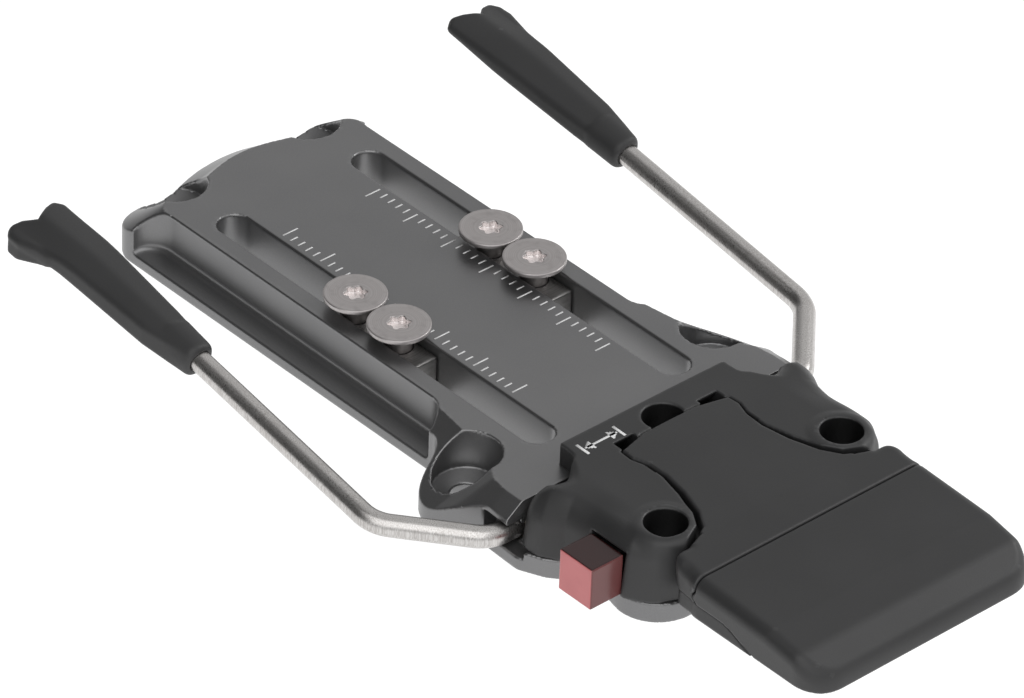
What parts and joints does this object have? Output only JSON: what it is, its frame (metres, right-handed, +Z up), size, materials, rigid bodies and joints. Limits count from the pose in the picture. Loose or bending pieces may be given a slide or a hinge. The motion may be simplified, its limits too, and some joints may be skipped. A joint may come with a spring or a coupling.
{
  "type": "touring binding brake plate",
  "caption": "Heel-side adjustment plate of a ski touring binding with two T-slots, sliding screw clamps and a pedal-operated ski brake with wire arms and a walk lock.",
  "frame": {"origin": "on the underside of the base plate, which lies on the ski, in the plane of symmetry and midway between the four clamp screws", "axes": "+X forward to the ski's tip, +Y to the skier's left, +Z up from the ski"},
  "size_m": [0.1815, 0.1138, 0.0236],
  "materials": {
    "anodised_aluminium": "fine blasted and dark grey anodised",
    "black_plastic": "moulded, fine grain, satin",
    "black_carrier": "moulded, fine grain, satin",
    "bush_polymer": "plain bearing polymer",
    "spring_steel": "drawn spring wire",
    "stainless_wire": "brushed stainless wire",
    "screw_steel": "turned and blasted steel",
    "rubber": "soft moulded rubber",
    "red_translucent": "tinted, see-through polymer"
  },
  "bodies": {
    "base": {"base_plate": "anodised_aluminium", "brake_housing": "black_plastic", "arm_bush_left": "bush_polymer", "arm_bush_right": "bush_polymer", "torsion_spring_left": "spring_steel", "torsion_spring_right": "spring_steel", "housing_screws": "screw_steel", "pedal_buffers": "rubber", "lock_friction_pad": "bush_polymer", "lock_pad_spring": "spring_steel"},
    "brake": {"arm_left": "stainless_wire", "arm_right": "stainless_wire", "paddle_left": "black_plastic", "paddle_right": "black_plastic", "pedal_carrier": "black_carrier", "pedal_cover": "black_plastic", "pedal_pad": "black_plastic", "hub_pins": "screw_steel", "pedal_screws": "screw_steel"},
    "lock": {"lock_bolt": "black_carrier", "lock_button": "red_translucent", "lock_pin": "screw_steel"},
    "clamp_left": {"nut_bar_left": "screw_steel", "clamp_screws_left": "screw_steel"},
    "clamp_right": {"nut_bar_right": "screw_steel", "clamp_screws_right": "screw_steel"}
  },
  "joints": [
    {"name": "brake", "type": "hinge", "parent": "base", "child": "brake", "pos_m": [0.05236, 0, 0.0049], "axis": [0, -1, 0], "range_deg": [0, 60]},
    {"name": "lock", "type": "slide", "parent": "base", "child": "lock", "axis": [0, 1, 0], "range_m": [0, 0.0045]},
    {"name": "clamp_left", "type": "slide", "parent": "base", "child": "clamp_left", "axis": [1, 0, 0], "range_m": [-0.025, 0.025]},
    {"name": "clamp_right", "type": "slide", "parent": "base", "child": "clamp_right", "axis": [1, 0, 0], "range_m": [-0.025, 0.025]}
  ]
}
